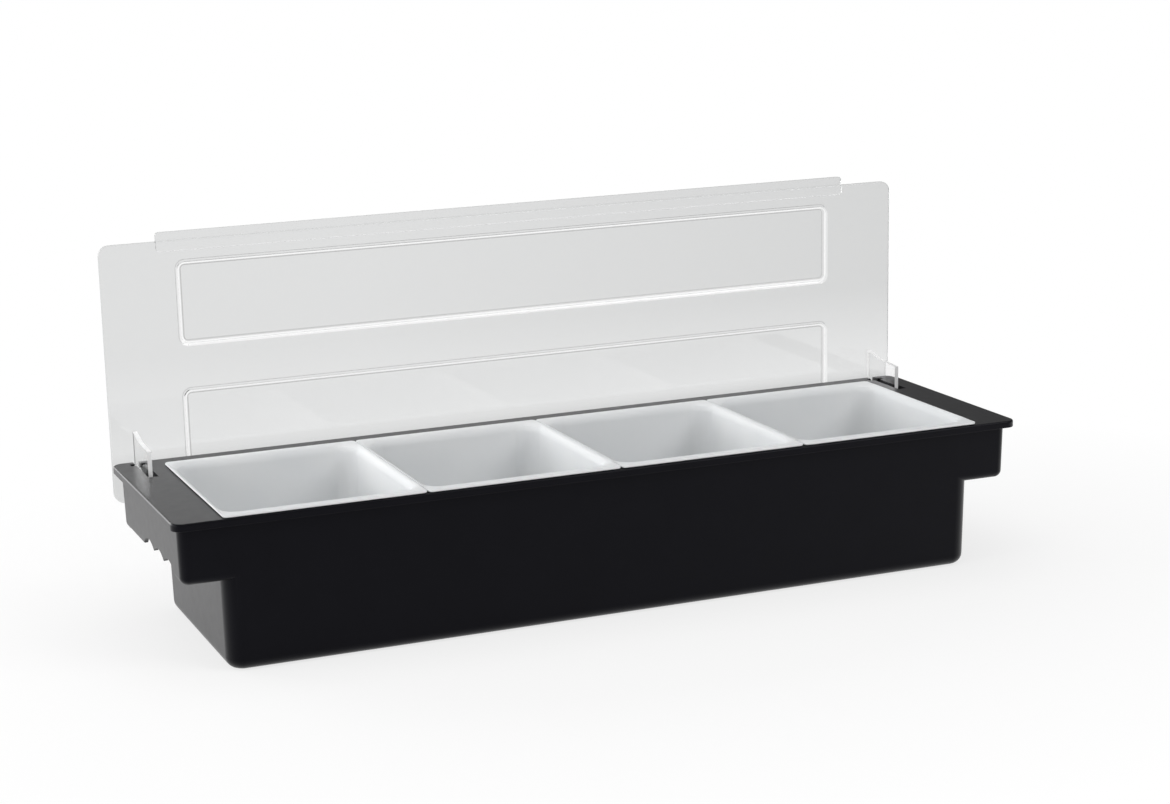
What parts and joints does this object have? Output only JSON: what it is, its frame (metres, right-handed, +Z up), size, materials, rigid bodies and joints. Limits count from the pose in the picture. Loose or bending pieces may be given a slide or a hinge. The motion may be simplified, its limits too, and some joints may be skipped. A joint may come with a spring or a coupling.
{
  "type": "condiment caddy with hinged lid",
  "caption": "Long black caddy for garnishes, with a wing at each end, lift-out white inserts in a row and a clear lid that swings up and back on pins.",
  "frame": {"origin": "centre of the tub's flat underside", "axes": "+X along the row of inserts to the right, +Y to the rear where the lid hinges, +Z up"},
  "size_m": [0.49, 0.1475, 0.2085],
  "materials": {
    "housing_plastic": "satin black moulded plastic",
    "lid_plastic": "clear glossy moulded plastic",
    "insert_plastic": "white satin moulded plastic",
    "pin_steel": "drawn stainless rod"
  },
  "bodies": {
    "base": {"housing": "housing_plastic"},
    "lid": {"lid": "lid_plastic", "hinge_pin_left": "pin_steel", "hinge_pin_right": "pin_steel"},
    "insert_left": {"insert_left": "insert_plastic"},
    "insert_mid_left": {"insert_mid_left": "insert_plastic"},
    "insert_mid_right": {"insert_mid_right": "insert_plastic"},
    "insert_right": {"insert_right": "insert_plastic"}
  },
  "joints": [
    {"name": "lid_hinge", "type": "hinge", "parent": "base", "child": "lid", "pos_m": [0, 0.063, 0.077], "axis": [-1, 0, 0], "range_deg": [-90.5, 0]},
    {"name": "insert_left_lift", "type": "slide", "parent": "base", "child": "insert_left", "axis": [0, 0, 1], "range_m": [0, 0.08]},
    {"name": "insert_mid_left_lift", "type": "slide", "parent": "base", "child": "insert_mid_left", "axis": [0, 0, 1], "range_m": [0, 0.08]},
    {"name": "insert_mid_right_lift", "type": "slide", "parent": "base", "child": "insert_mid_right", "axis": [0, 0, 1], "range_m": [0, 0.08]},
    {"name": "insert_right_lift", "type": "slide", "parent": "base", "child": "insert_right", "axis": [0, 0, 1], "range_m": [0, 0.08]}
  ]
}
